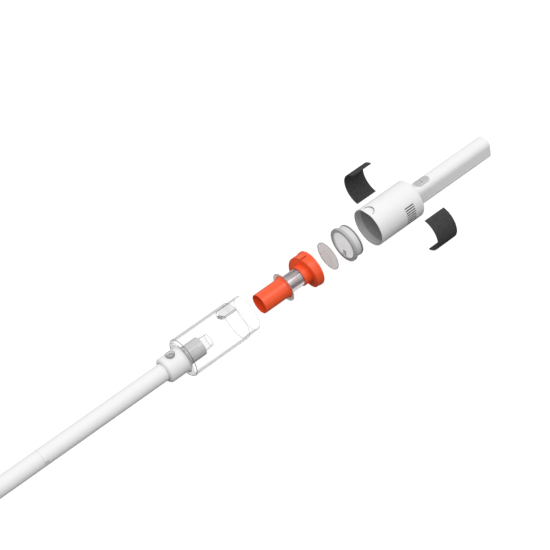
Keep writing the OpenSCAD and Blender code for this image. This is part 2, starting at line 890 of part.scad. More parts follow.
module motor_housing() {
    color("white") place() difference() {
        union() {
            lathe(concat(
                [[0, shell_r]],
                arc(body_len - body_round, shell_r - body_round, body_round, 90, 0, 8),
                [[body_len, 0], [body_len - rear_wall, 0], [body_len - rear_wall, bore_r - body_round + 1]],
                arc(body_len - rear_wall - body_round + 1, bore_r - body_round + 1, body_round - 1, 0, 90, 6),
                [[mouth_ring_x, bore_r], [mouth_ring_x, bore_r - mouth_lip], [0, bore_r - mouth_lip]]
            ));
            intersection() {
                translate([0, -scoop_key_w / 2, scoop_floor_z - scoop_floor_t])
                    cube([scoop_len + scoop_tail, scoop_key_w, BIG]);
                rod(0, BIG, shell_r - scoop_drop);
            }
        }
        translate([-scoop_len - OVER, 0, 0])
            oblong(0, 2 * scoop_len + OVER, recess_w, scoop_floor_z, BIG);
        vent_slots();
        handle_bar(body_len - rear_wall - OVER, BIG, 0);
        for (a = [-1, 1], b = [-1, 1]) translate([0, a * handle_screw_y, b * handle_screw_z])
            rod(body_len - rear_wall - OVER, OVER + screw_dip, screw_r);
    }
}

module mouth_ring() {
    color("darkgray") place() difference() {
        ring(mouth_ring_x, mouth_ring_len, bore_r - running, mouth_r);
        translate([0, -scoop_key_w / 2 - running, 0]) cube([BIG, scoop_key_w + 2 * running, BIG]);
    }
}

module mouth_seal() {
    color("dimgray") place() difference() {
        ring(mouth_ring_x + mouth_ring_len, mouth_seal_len, bore_r, mouth_r - 0.1);
        translate([0, -scoop_key_w / 2, 0]) cube([BIG, scoop_key_w, BIG]);
    }
}

module filter_bulkhead() {
    color("gray") place() union() {
        ring(bulkhead_x, bulkhead_t, bore_r - running, bulkhead_hole_r);
        for (a = [0, 60, 120]) rotate([a, 0, 0])
            translate([bulkhead_x, -rib_w / 2, -bulkhead_hole_r - OVER])
                cube([bulkhead_t, rib_w, 2 * (bulkhead_hole_r + OVER)]);
    }
}

module fan_shroud() {
    color("gray") place() difference() {
        rod(carrier_x, shroud_len, shroud_r);
        rod(carrier_x + shroud_front_t, BIG, shroud_r - shroud_wall);
        rod(carrier_x - OVER, BIG, shroud_eye_r);
    }
}

module motor_carrier() {
    color("gray") place() difference() {
        ring(carrier_x, carrier_len, carrier_r, carrier_r - carrier_wall);
        for (side = [-1, 1], i = [-2:2])
            rotate([side * 90 + i * 22, 0, 0])
                translate([carrier_x + shroud_len + 1, -carrier_window_w / 2, carrier_r - 2 * carrier_wall])
                    cube([carrier_len - shroud_len - 4, carrier_window_w, BIG]);
    }
}

module fan_wheel() {
    color("dimgray") place() difference() {
        union() {
            rod(fan_x + fan_len - fan_plate_t, fan_plate_t, fan_r);
            rod(fan_x, fan_len, fan_hub_r);
            for (i = [0:blade_n - 1]) rotate([i * 360 / blade_n, 0, 0])
                translate([fan_x + blade_t, fan_hub_r - 2 * blade_t, 0]) rotate([blade_lean, 0, 0])
                    cube([fan_len - fan_plate_t, blade_t, fan_r - 4 * blade_t]);
        }
        rod(fan_x - OVER, BIG, shaft_r);
    }
}

module motor_shaft() {
    color("silver") place() rod(fan_x, can_x + motor_len - shaft_end_inset - fan_x, shaft_r);
}

module rotor() {
    color("dimgray") place()
        ring(can_x + rotor_inset, motor_len - 2 * rotor_inset - winding_end, rotor_r, shaft_r);
}

module stator() {
    color("chocolate") place()
        ring(can_x + stator_inset, motor_len - 2 * stator_inset - winding_end,
             motor_r - can_wall - running, rotor_r + air_gap);
}

module motor_can() {
    color("silver") place() difference() {
        rod(can_x, motor_len, motor_r);
        difference() {
            rod(can_x - OVER, motor_len - can_wall + OVER, motor_r - can_wall);
            rod(can_x + motor_len - can_wall - bearing_len, BIG, can_boss_r);
        }
        rod(can_x + motor_len - can_wall - bearing_len, bearing_len, bearing_r);
        rod(can_x + motor_len - can_wall - bearing_len - OVER, bearing_len + can_wall - cap_skin, shaft_r + 1);
    }
}

module motor_end_frame() {
    color("silver") place() difference() {
        union() {
            rod(end_frame_x, end_frame_t, motor_r);
            rod(end_frame_x, bearing_len, can_boss_r);
        }
        rod(end_frame_x - OVER, BIG, bearing_r);
        for (i = [0:frame_hole_n - 1]) rotate([i * 360 / frame_hole_n, 0, 0])
            translate([0, 0, (motor_r + can_boss_r) / 2]) rod(end_frame_x - OVER, BIG, frame_hole_r);
    }
}

module bearings() {
    color("lightsteelblue") place() for (x = [end_frame_x, can_x + motor_len - can_wall - bearing_len])
        ring(x, bearing_len, bearing_r, shaft_r + running);
}

module rubber_mount() {
    color("dimgray") place() difference() {
        ring(mount_x, mount_len, carrier_r - carrier_wall, motor_r);
        for (i = [0:mount_hole_n - 1]) rotate([i * 360 / mount_hole_n, 0, 0])
            translate([0, 0, (carrier_r - carrier_wall + motor_r) / 2]) rod(mount_x - OVER, BIG, mount_hole_r);
    }
}

module control_board() {
    color("seagreen") place() difference() {
        rod(board_x, board_t, carrier_r);
        for (a = [-1, 1], b = [-1, 1]) translate([0, a * handle_screw_y, b * handle_screw_z])
            rod(board_x - OVER, BIG, screw_head_r + 0.5);
    }
}

// Handle ----------------------------------------------------------------

module keys_prism(grow, z0, z1) {
    oblong(keys_x - grow, keys_len + 2 * grow, keys_w + 2 * grow, z0, z1);
}

module handle_sleeve() {
    color("white") place() difference() {
        union() {
            handle_bar(sleeve_x, sleeve_end_x - sleeve_x, 0);
            handle_bar(sleeve_x, flange_t, -flange_lap);
        }
        handle_bar(sleeve_x - OVER, BIG * 2, handle_wall);
        keys_prism(seat, 0, BIG);
        translate([jack_x, 0, -BIG]) cylinder(h = BIG, r = jack_body_r);
        for (i = [0:light_n - 1])
            translate([body_len + lights_gap, i * lights_pitch, 0]) cylinder(h = BIG, r = light_r);
        for (a = [-1, 1], b = [-1, 1]) translate([0, a * handle_screw_y, b * handle_screw_z])
            rod(sleeve_x - OVER, BIG, screw_r);
    }
}

module handle_end_cap() {
    color("white") place() union() {
        handle_bar(sleeve_end_x, end_cap_t - cap_step, 0);
        handle_bar(handle_x - cap_step, cap_step, cap_inset);
    }
}

module handle_screws() {
    color("silver") place() for (a = [-1, 1], b = [-1, 1])
        translate([0, a * handle_screw_y, b * handle_screw_z]) union() {
            rod(sleeve_x, flange_t + screw_dip, screw_r);
            rod(sleeve_x - screw_head_t, screw_head_t, screw_head_r);
        }
}

module charge_socket() {
    color("dimgray") place() translate([jack_x, 0, -top_z]) difference() {
        cylinder(h = jack_len + jack_wall, r = jack_body_r);
        translate([0, 0, -OVER]) cylinder(h = jack_len + OVER, r = jack_r);
    }
}

module battery_cells() {
    color("steelblue") place() for (i = [0:cell_rows - 1], s = [-1, 1])
        translate([0, 0, s * cell_r])
            rod(cells_x + cell_gap / 2 + i * (cell_len + cell_gap), cell_len, cell_r - cell_play);
}

module cell_spacers() {
    color("gray") place() for (i = [0:cell_rows])
        handle_bar(cells_x - cell_gap / 2 + i * (cell_len + cell_gap),
                   i < cell_rows ? cell_gap : cell_gap / 2, handle_wall);
}

module key_board() {
    color("seagreen") place() union() {
        translate([keys_x - key_board_end, -key_board_w / 2, key_board_z])
                cube([key_board_len, key_board_w, board_t]);
        intersection() {
            for (x = [keys_x - key_board_end, keys_x + key_board_len - 2 * key_board_end])
                translate([x, -handle_w / 2, key_board_z]) cube([key_board_end, handle_w, board_t]);
            handle_bar(sleeve_x, BIG, handle_wall);
        }
    }
}

module key_switches() {
    color("dimgray") place() for (s = [0.25, 0.75])
        translate([keys_x + keys_len * s - switch_side / 2, -switch_side / 2, switch_z])
            cube([switch_side, switch_side, switch_h]);
}

module half_key(s) {
    union() {
        difference() {
            intersection() {
                keys_prism(0, key_top_z - key_t, key_top_z);
                handle_bar(sleeve_x, sleeve_end_x - sleeve_x, top_z - key_top_z);
                translate([keys_x + (s < 0.5 ? -OVER : keys_len / 2 + seat / 2), -BIG / 2, 0])
                    cube([keys_len / 2 - seat / 2 + OVER, BIG, BIG]);
            }
            translate([keys_x + keys_len * s, 0, key_top_z + key_dish_r - key_dish_depth]) sphere(r = key_dish_r);
        }
        translate([keys_x + keys_len * s, 0, key_stem_z])
            cylinder(h = key_top_z - key_t - key_stem_z, r = key_stem_r);
    }
}

module power_key() {
    color("darkgray") place() half_key(0.25);
}

module mode_key() {
    color("darkgray") place() half_key(0.75);
}

module light_lenses() {
    color("gray") place() intersection() {
        for (i = [0:light_n - 1]) translate([body_len + lights_gap, i * lights_pitch, top_z - light_len])
            cylinder(h = light_len, r = light_r);
        handle_bar(sleeve_x, BIG, 0);
    }
}

// Foam pads -------------------------------------------------------------

module foam_pad(side) {
    color("dimgray") place() translate([pad_x, side * pad_out, 0])
        rotate([0, 90, 0]) rotate([0, 0, side * 90 - pad_half_angle])
            rotate_extrude(angle = 2 * pad_half_angle) translate([pad_r - pad_t, 0]) square([pad_t, pad_len]);
}

module foam_pad_left() {
    foam_pad(1);
}

module foam_pad_right() {
    foam_pad(-1);
}

lower_wand_tube();
wand_joiner();
wand_end_spigot();
upper_wand_tube();
neck_collar();
collar_button();
collar_button_spring();
wand_catch();
wand_seal();
collar_screws();
dust_cup();
cup_latch();
latch_spring();
inlet_duct();
inlet_nozzle();
flap_seat();
flap_pin();
inlet_flap();
cyclone_tube();
cyclone_skirt();
mesh_screen();
riser_pipe();
volute_ramp();
cyclone_head();
prefilter_mesh();
prefilter_rim();
filter_frame();
filter_media();
filter_gasket();
filter_tab();
motor_housing();
mouth_ring();
mouth_seal();
filter_bulkhead();
fan_shroud();
motor_carrier();
fan_wheel();
motor_shaft();
rotor();
stator();
motor_can();
motor_end_frame();
bearings();
rubber_mount();
control_board();
handle_sleeve();
handle_end_cap();
handle_screws();
charge_socket();
battery_cells();
cell_spacers();
key_board();
key_switches();
power_key();
mode_key();
light_lenses();
foam_pad_left();
foam_pad_right();
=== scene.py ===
import json
import math

import bmesh
import bpy
import numpy as np
from mathutils import Matrix, Vector

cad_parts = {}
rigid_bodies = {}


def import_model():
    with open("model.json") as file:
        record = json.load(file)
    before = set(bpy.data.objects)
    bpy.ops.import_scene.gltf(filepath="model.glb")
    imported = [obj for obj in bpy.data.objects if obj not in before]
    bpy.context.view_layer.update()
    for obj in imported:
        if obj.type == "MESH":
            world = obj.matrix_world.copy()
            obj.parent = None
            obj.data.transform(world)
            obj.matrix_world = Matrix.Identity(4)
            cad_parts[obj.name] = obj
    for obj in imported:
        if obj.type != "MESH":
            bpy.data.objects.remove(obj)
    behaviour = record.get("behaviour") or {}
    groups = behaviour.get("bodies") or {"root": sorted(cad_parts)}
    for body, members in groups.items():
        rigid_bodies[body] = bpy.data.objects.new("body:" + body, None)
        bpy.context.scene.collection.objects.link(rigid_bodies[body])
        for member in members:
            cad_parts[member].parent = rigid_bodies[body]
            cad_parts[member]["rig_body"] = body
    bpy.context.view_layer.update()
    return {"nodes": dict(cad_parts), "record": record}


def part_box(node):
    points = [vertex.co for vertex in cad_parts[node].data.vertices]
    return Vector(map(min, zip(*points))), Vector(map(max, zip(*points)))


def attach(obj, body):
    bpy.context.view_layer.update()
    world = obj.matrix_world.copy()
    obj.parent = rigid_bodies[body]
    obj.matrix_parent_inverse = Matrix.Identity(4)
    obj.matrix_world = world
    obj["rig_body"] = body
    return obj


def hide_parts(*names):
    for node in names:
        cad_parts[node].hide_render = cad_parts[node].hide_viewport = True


# Looks of a cordless stick vacuum cleaner that lies taken apart along its own axis.
# The axis runs along X. Lengths in millimetres are turned to metres with MM.

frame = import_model()
MM = 0.001
NODES = frame["nodes"]

# ---------------------------------------------------------------- places from the frame


def low(node):
    return np.array(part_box(node)[0])


def high(node):
    return np.array(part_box(node)[1])


def middle(node):
    return (low(node) + high(node)) / 2


MOUTH_X = low("motor_housing")[0]
AXIS_Z = middle("motor_housing")[2]

# ---------------------------------------------------------------- surfaces


def mesh_piece(name, points, faces, material, sharp=35):
    """Puts points and faces into a mesh object, merges points that coincide and makes its faces point
    outwards. Edges sharper than the given angle stay crisp."""
    mesh = bpy.data.meshes.new(name)
    mesh.from_pydata(points.tolist(), [], np.asarray(faces).tolist())
    piece = bpy.data.objects.new(name, mesh)
    bpy.context.scene.collection.objects.link(piece)
    tidy_mesh(mesh, outwards=True)
    smooth_shading(mesh, sharp)
    mesh.materials.append(material)
    return piece


def tidy_mesh(mesh, outwards):
    """Merges points closer than two micrometres, drops flat faces and, if asked, turns all faces
    outwards."""
    work = bmesh.new()
    work.from_mesh(mesh)
    bmesh.ops.remove_doubles(work, verts=work.verts, dist=2e-6)
    bmesh.ops.dissolve_degenerate(work, edges=work.edges, dist=1e-6)
    if outwards:
        bmesh.ops.recalc_face_normals(work, faces=work.faces)
    work.to_mesh(mesh)
    work.free()


def smooth_shading(mesh, sharp):
    mesh.polygons.foreach_set("use_smooth", [True] * len(mesh.polygons))
    mesh.set_sharp_from_angle(angle=math.radians(sharp))


def grid_faces(rows, columns, wrap_rows=False, wrap_columns=False):
    """Quads between neighbouring points of a grid, numbered row by row, with either direction closed on
    itself."""
    i = np.arange(rows if wrap_rows else rows - 1)
    j = np.arange(columns if wrap_columns else columns - 1)
    i, j = (a.ravel() for a in np.meshgrid(i, j, indexing="ij"))
    i2, j2 = (i + 1) % rows, (j + 1) % columns
    return np.stack([i * columns + j, i * columns + j2, i2 * columns + j2, i2 * columns + j], axis=1)


def rounded(corners, radius, steps=4):
    """The closed outline with each corner replaced by an arc. A corner is (x, r) or (x, r, its own radius).
    The arc's middle lies on the corner's bisector, at radius / sin(half angle) from the corner."""
    outline = []
    count = len(corners)
    for k, corner in enumerate(corners):
        here = np.array(corner[:2], float)
        back = np.array(corners[k - 1][:2], float) - here
        ahead = np.array(corners[(k + 1) % count][:2], float) - here
        reach = corner[2] if len(corner) > 2 else radius
        back_len, ahead_len = np.linalg.norm(back), np.linalg.norm(ahead)
        back, ahead = back / back_len, ahead / ahead_len
        half = math.acos(np.clip(back @ ahead, -1, 1)) / 2
        if reach <= 0 or abs(half - math.pi / 2) < 0.02:
            outline.append(here)
            continue
        run = min(reach / math.tan(half), 0.49 * min(back_len, ahead_len))
        reach = run * math.tan(half)
        middle_point = here + (back + ahead) / np.linalg.norm(back + ahead) * reach / math.sin(half)
        first, last = here + back * run - middle_point, here + ahead * run - middle_point
        turn = math.atan2(first[0] * last[1] - first[1] * last[0], first @ last)
        for t in np.linspace(0, turn, steps + 1):
            c, s = math.cos(t), math.sin(t)
            turned_first = np.array([c * first[0] - s * first[1], s * first[0] + c * first[1]])
            outline.append(middle_point + turned_first)
    return np.array(outline)


def turned(name, outline, material, steps=128):
    """A closed outline of (x, radius), in millimetres from the mouth, carried once round the machine's
    axis: at the angle a, a point of the outline lies at radius times cos a across and radius times sin a
    above the axis."""
    angle = np.linspace(0, 2 * np.pi, steps, endpoint=False)[:, None]
    x = np.broadcast_to(outline[None, :, 0], (steps, len(outline)))
    r = np.broadcast_to(outline[None, :, 1], (steps, len(outline)))
    points = np.stack([MOUTH_X + x * MM, r * MM * np.cos(angle), AXIS_Z + r * MM * np.sin(angle)], axis=-1)
    faces = grid_faces(steps, len(outline), wrap_rows=True, wrap_columns=True)
    return mesh_piece(name, points.reshape(-1, 3), faces, material)


def finished_copy(node, material, edge=0.35, sharp=32, segments=2):
    """The CAD node's own shape with its edges broken: a merged copy with a narrow bevel along each sharp
    edge. For some nodes the bevel gets a darker finish, painted shade along the edge."""
    piece = bpy.data.objects.new(node + "_finished", NODES[node].data.copy())
    bpy.context.scene.collection.objects.link(piece)
    mesh = piece.data
    mesh.materials.clear()
    mesh.materials.append(material)
    tidy_mesh(mesh, outwards=False)
    merge_flat_faces(mesh)
    smooth_shading(mesh, sharp)
    if edge > 0:
        bevel = piece.modifiers.new("broken_edges", "BEVEL")
        bevel.width = edge * MM
        bevel.segments = segments
        bevel.limit_method = "ANGLE"
        bevel.angle_limit = math.radians(sharp)
        bevel.harden_normals = True
        bevel.use_clamp_overlap = True
        if node in EDGE_PAINTED_SHADE:
            mesh.materials.append(EDGE_PAINTED_SHADE[node])
            bevel.material = 1
    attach(piece, BODY_OF[node])
    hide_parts(node)
    return piece


def merge_flat_faces(mesh):
    """Joins the triangles that lie in one plane, so that a bevel runs cleanly along their outline."""
    work = bmesh.new()
    work.from_mesh(mesh)
    bmesh.ops.dissolve_limit(work, angle_limit=math.radians(0.3), verts=work.verts, edges=work.edges,
                             delimit={"NORMAL"})
    work.to_mesh(mesh)
    work.free()
    if mesh.has_custom_normals:
        mesh.attributes.remove(mesh.attributes["custom_normal"])


BODY_OF = {node: obj["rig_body"] for node, obj in NODES.items()}
SLOT_OF = {part["node"]: part["material_slot"] for part in frame["record"]["subparts"]}

# ---------------------------------------------------------------- finishes


def shader(name, **settings):
    """A material with a Principled shader whose sockets are set straight from the settings."""
    material = bpy.data.materials.new(name)
    material.use_nodes = True
    bsdf = material.node_tree.nodes["Principled BSDF"]
    for socket, value in settings.items():
        bsdf.inputs[socket.replace("_", " ")].default_value = value
    return material, material.node_tree, bsdf


def add(tree, kind, inputs=None, **properties):
    """A node with its properties set and its inputs linked or filled."""
    node = tree.nodes.new(kind)
    for key, value in properties.items():
        setattr(node, key, value)
    for key, value in (inputs or {}).items():
        socket = node.inputs[key]
        if isinstance(value, bpy.types.NodeSocket):
            tree.links.new(value, socket)
        else:
            socket.default_value = value
    return node


def grey(value):
    return (value, value, value, 1)


def place_on_axis(tree):
    """Object coordinates in millimetres, counted from the machine's axis."""
    where = add(tree, "ShaderNodeTexCoord").outputs["Object"]
    moved = add(tree, "ShaderNodeVectorMath", {0: where, 1: (-MOUTH_X, 0, -AXIS_Z)}, operation="ADD")
    return add(tree, "ShaderNodeVectorMath", {0: moved.outputs[0], "Scale": 1 / MM},
               operation="SCALE").outputs[0]


def noise(tree, where, scale, detail=2, rough=0.5):
    return add(tree, "ShaderNodeTexNoise",
               {"Vector": where, "Scale": scale, "Detail": detail, "Roughness": rough}).outputs[0]


def spread(tree, value, low_value, high_value, low_from=0.3, high_from=0.7):
    return add(tree, "ShaderNodeMapRange", {"Value": value, "From Min": low_from, "From Max": high_from,
                                            "To Min": low_value, "To Max": high_value}).outputs[0]


def between(tree, share, first, second):
    """A colour between two colours."""
    mixed = add(tree, "ShaderNodeMix", {"Factor": share}, data_type="RGBA")
    mixed.inputs[6].default_value = first
    mixed.inputs[7].default_value = second
    return mixed.outputs[2]


def bumped(tree, bsdf, height, strength, distance):
    bump = add(tree, "ShaderNodeBump", {"Height": height, "Strength": strength, "Distance": distance * MM})
    tree.links.new(bump.outputs[0], bsdf.inputs["Normal"])


def moulded(name, colour, roughness, grain=0.02, shift=0.03, **settings):
    """Moulded plastic: a faint drift of colour over centimetres, gloss that varies, and a spark-eroded
    grain."""
    material, tree, bsdf = shader(name, Roughness=roughness, **settings)
    where = place_on_axis(tree)
    drift = noise(tree, where, 0.03, 3)
    first = tuple(c * (1 - shift) for c in colour) + (1,)
    second = tuple(min(1, c * (1 + shift)) for c in colour) + (1,)
    tree.links.new(between(tree, drift, first, second), bsdf.inputs["Base Color"])
    tree.links.new(spread(tree, noise(tree, where, 0.4, 4), roughness - 0.04, roughness + 0.04),
                   bsdf.inputs["Roughness"])
    bumped(tree, bsdf, noise(tree, where, 6, 2), 0.25, grain)
    return material


def orange_with_painted_glow(name, colour, painted_glow_strength, roughness):
    """Orange plastic: the same moulded finish with a deep red glow painted on, a painted glow that lightens
    its shadows in place of light that soaks into it."""
    material = moulded(name, colour, roughness, grain=0.015, shift=0.02)
    bsdf = material.node_tree.nodes["Principled BSDF"]
    # painted glow: a deep red emission that lightens the orange's shadows
    bsdf.inputs["Emission Color"].default_value = (1, 0.035, 0, 1)
    bsdf.inputs["Emission Strength"].default_value = painted_glow_strength
    return material


def see_through(name, light, dark, thin, slanted, roughness, start=0.35):
    """Clear or smoky moulded plastic: nearly invisible where it is seen squarely, greyer where it is seen
    at a slant and light has more of it to cross. Faint flow waves run through it."""
    material, tree, bsdf = shader(name, Roughness=roughness, IOR=1.46)
    where = place_on_axis(tree)
    waves = noise(tree, where, 0.05, 2)
    tree.links.new(between(tree, waves, grey(dark), grey(light)), bsdf.inputs["Base Color"])
    slant = add(tree, "ShaderNodeLayerWeight", {"Blend": 0.5}).outputs["Facing"]
    uneven = add(tree, "ShaderNodeMath", {0: waves, 1: 0.02, 2: slant}, operation="MULTIPLY_ADD").outputs[0]
    tree.links.new(spread(tree, uneven, thin, slanted, start, 1.03), bsdf.inputs["Alpha"])
    bumped(tree, bsdf, noise(tree, where, 0.08, 2), 0.1, 0.05)
    return material


def clear_edge_painted_shade():
    """Painted shade on the narrow rounded edges of the clear plastic: a see-through dark grey for the light
    they bend away.
    """
    material, tree, bsdf = shader("clear_edge_painted_shade", Roughness=0.35, Alpha=0.8)
    where = place_on_axis(tree)
    patches = between(tree, noise(tree, where, 0.3, 2), grey(0.10), grey(0.17))
    tree.links.new(patches, bsdf.inputs["Base Color"])
    return material


def round_and_along(tree, where, radius):
    """The angle round the axis as an arc length at the given radius, and the place along X, both in
    millimetres."""
    split = add(tree, "ShaderNodeSeparateXYZ", {0: where})
    angle = add(tree, "ShaderNodeMath", {0: split.outputs["Z"], 1: split.outputs["Y"]},
                operation="ARCTAN2").outputs[0]
    arc = add(tree, "ShaderNodeMath", {0: angle, 1: radius}, operation="MULTIPLY").outputs[0]
    return arc, split.outputs["X"]


def ripple(tree, value, pitch):
    """A sine wave from 0 to 1 with the given pitch in millimetres."""
    turn = add(tree, "ShaderNodeMath", {0: value, 1: 2 * math.pi / pitch}, operation="MULTIPLY").outputs[0]
    wave = add(tree, "ShaderNodeMath", {0: turn}, operation="SINE").outputs[0]
    return add(tree, "ShaderNodeMath", {0: wave, 1: 0.5, 2: 0.5}, operation="MULTIPLY_ADD").outputs[0]


def screen_steel(radius):
    """Polished steel etched with a fine grid of holes that show the pipe inside, its colour streaked along
    the
    axis with painted reflections: pinkish light and dark bands."""
    material, tree, bsdf = shader("screen_steel", Metallic=1.0, Roughness=0.3)
    where = place_on_axis(tree)
    arc, along = round_and_along(tree, where, radius)
    holes = add(tree, "ShaderNodeMath", {0: ripple(tree, arc, 1.0), 1: ripple(tree, along, 1.0)},
                operation="MULTIPLY").outputs[0]
    tree.links.new(spread(tree, holes, 1, 0.25, 0.35, 0.6), bsdf.inputs["Alpha"])
    # painted reflection: pinkish light and dark bands along the axis in the steel's colour
    reflection_band_noise = noise(tree, add(tree, "ShaderNodeVectorMath", {0: where, 1: (0.03, 1, 1)},
                              operation="MULTIPLY").outputs[0], 0.22, 2)
    reflection_band_share = spread(tree, reflection_band_noise, 0, 1, 0.38, 0.62)
    painted_reflection_colour = between(tree, reflection_band_share, (0.20, 0.17, 0.18, 1), (0.74, 0.67, 0.68, 1))
    tree.links.new(painted_reflection_colour, bsdf.inputs["Base Color"])
    bumped(tree, bsdf, holes, 0.2, 0.03)
    return material


def mesh_cloth(name, light, dark, open_share):
    """Fine nylon mesh: two crossing sets of threads 1.4 mm apart, with gaps between them that let light
    through."""
    material, tree, bsdf = shader(name, Roughness=0.75)
    where = place_on_axis(tree)
    split = add(tree, "ShaderNodeSeparateXYZ", {0: where})
    pitch = 1.4
    threads = add(tree, "ShaderNodeMath", {0: ripple(tree, split.outputs["Y"], pitch),
                                           1: ripple(tree, split.outputs["Z"], pitch)},
                  operation="MAXIMUM").outputs[0]
    if open_share > 0:
        tree.links.new(spread(tree, threads, 0.9 - open_share, 0.9, 0.72, 1.0), bsdf.inputs["Alpha"])
    patchy = add(tree, "ShaderNodeMath", {0: threads, 1: noise(tree, where, 0.5, 4)},
                 operation="ADD").outputs[0]
    woven = between(tree, spread(tree, patchy, 0, 1, 0.35, 1.2), light, dark)
    tree.links.new(woven, bsdf.inputs["Base Color"])
    bumped(tree, bsdf, threads, 0.5, 0.1)
    return material


def felt(name, light, dark, glow):
    """Filter felt: short fibres that lie every way, as noise in two scales. An even white glow is painted
    on, a painted glow in place of light that soaks through it."""
    material, tree, bsdf = shader(name, Roughness=0.9)
    # painted glow: an even white emission that brightens the felt
    bsdf.inputs["Emission Color"].default_value = grey(1)
    bsdf.inputs["Emission Strength"].default_value = glow
    bsdf.inputs["Sheen Weight"].default_value = 0.2
    where = place_on_axis(tree)
    fibres = noise(tree, where, 2.5, 6, 0.7)
    clouds = noise(tree, where, 0.12, 3)
    both = add(tree, "ShaderNodeMath", {0: fibres, 1: clouds}, operation="ADD").outputs[0]
    tree.links.new(between(tree, spread(tree, both, 0, 1, 0.7, 1.3), dark, light), bsdf.inputs["Base Color"])
    bumped(tree, bsdf, fibres, 0.4, 0.15)
    return material


def open_foam():
    """Charcoal open-cell foam: small pores with darker hearts between lighter struts; the darker hearts are
    painted shade in the pores.
    """
    material, tree, bsdf = shader("open_foam", Roughness=0.95)
    bsdf.inputs["Specular IOR Level"].default_value = 0.2
    where = place_on_axis(tree)
    pores = add(tree, "ShaderNodeTexVoronoi", {"Vector": where, "Scale": 1.1},
                feature="F1").outputs["Distance"]
    clouds = noise(tree, where, 0.25, 4)
    pore_shade_and_tone = add(tree, "ShaderNodeMath", {0: pores, 1: clouds}, operation="ADD").outputs[0]
    tree.links.new(between(tree, spread(tree, pore_shade_and_tone, 0, 1, 0.5, 1.4), (0.030, 0.030, 0.031, 1),
                           (0.072, 0.072, 0.073, 1)), bsdf.inputs["Base Color"])
    bumped(tree, bsdf, pores, 0.6, 0.35)
    return material


def rubber(name, value):
    return moulded(name, (value, value, value), 0.7, grain=0.04, shift=0.08)


def brushed_metal(name, colour, roughness):
    """Metal with fine marks that run round the axis."""
    material, tree, bsdf = shader(name, Metallic=1.0, Roughness=roughness)
    where = place_on_axis(tree)
    stretched = add(tree, "ShaderNodeVectorMath", {0: where, 1: (12, 0.6, 0.6)},
                    operation="MULTIPLY").outputs[0]
    marks = noise(tree, stretched, 1.0, 4, 0.6)
    dark = tuple(0.8 * c for c in colour) + (1,)
    tree.links.new(between(tree, marks, dark, colour + (1,)), bsdf.inputs["Base Color"])
    tree.links.new(spread(tree, marks, roughness - 0.06, roughness + 0.08), bsdf.inputs["Roughness"])
    bumped(tree, bsdf, marks, 0.15, 0.02)
    return material


def winding_wire():
    """Enamelled copper wire laid in turns along the axis."""
    material, tree, bsdf = shader("winding_wire", Metallic=0.8, Roughness=0.35)
    where = place_on_axis(tree)
    arc, _ = round_and_along(tree, where, 15)
    turns = ripple(tree, arc, 0.9)
    copper = between(tree, turns, (0.25, 0.09, 0.03, 1), (0.72, 0.33, 0.13, 1))
    tree.links.new(copper, bsdf.inputs["Base Color"])
    bumped(tree, bsdf, turns, 0.6, 0.2)
    return material


def circuit_board():
    """Green solder mask with slightly raised tracks on a 2.5 mm grid."""
    material, tree, bsdf = shader("circuit_board", Roughness=0.4)
    where = place_on_axis(tree)
    split = add(tree, "ShaderNodeSeparateXYZ", {0: where})
    tracks = add(tree, "ShaderNodeMath", {0: ripple(tree, split.outputs["Y"], 2.5),
                                          1: ripple(tree, split.outputs["Z"], 5)},
                 operation="MAXIMUM").outputs[0]
    tree.links.new(between(tree, spread(tree, tracks, 0, 1, 0.85, 0.95), (0.015, 0.11, 0.05, 1),
                           (0.03, 0.2, 0.09, 1)), bsdf.inputs["Base Color"])
    bumped(tree, bsdf, tracks, 0.2, 0.05)
    return material


FINISH = {
    "white_shell": moulded("white_shell", (0.87, 0.87, 0.87), 0.5, grain=0.008, shift=0.008,
                           Specular_IOR_Level=0.22),
    "grey_plastic": moulded("grey_plastic", (0.50, 0.50, 0.505), 0.45, grain=0.02, shift=0.03),
    "orange_plastic": orange_with_painted_glow("orange_plastic", (0.97, 0.105, 0.024), 0.02, 0.3),
    "inner_plastic": moulded("inner_plastic", (0.16, 0.16, 0.165), 0.55, grain=0.03, shift=0.06),
    "lens": moulded("lens", (0.06, 0.06, 0.065), 0.3, grain=0.005, shift=0.04),
    "cell_wrap": moulded("cell_wrap", (0.06, 0.17, 0.42), 0.35, grain=0.02, shift=0.05),
    "clear_plastic": see_through("clear_plastic", 0.34, 0.28, 0.012, 0.8, 0.08, start=0.5),
    "skirt_plastic": see_through("skirt_plastic", 0.62, 0.55, 0.38, 0.75, 0.3, start=0.2),
    "steel_mesh": screen_steel(17),
    "mesh_cloth": mesh_cloth("mesh_cloth", (0.62, 0.61, 0.59, 1), (0.46, 0.45, 0.435, 1), 0),
    "filter_paper": felt("filter_paper", (0.78, 0.80, 0.80, 1), (0.66, 0.68, 0.68, 1), 0.32),
    "rubber": rubber("rubber", 0.05),
    "foam": open_foam(),
    "steel": brushed_metal("steel", (0.62, 0.62, 0.64), 0.3),
    "winding": winding_wire(),
    "board": circuit_board(),
}
LIGHT_GREY = moulded("light_grey_plastic", (0.68, 0.68, 0.685), 0.42, grain=0.015, shift=0.03)
PALE_GREY = moulded("pale_grey_plastic", (0.78, 0.78, 0.785), 0.35, grain=0.015, shift=0.02)
KEY_GREY = moulded("key_grey_plastic", (0.56, 0.56, 0.565), 0.42, grain=0.015, shift=0.03)
GLOSSY_GREY = moulded("glossy_grey_plastic", (0.60, 0.60, 0.61), 0.2, grain=0.008, shift=0.03)
MID_GREY = moulded("mid_grey_plastic", (0.40, 0.40, 0.405), 0.35, grain=0.015, shift=0.03)
FINISH_OF = {node: FINISH[slot] for node, slot in SLOT_OF.items()}
OPEN_MESH = mesh_cloth("open_mesh", (0.80, 0.80, 0.785, 1), (0.61, 0.61, 0.60, 1), 0.85)
PAINTED_CLEAR_EDGE = clear_edge_painted_shade()
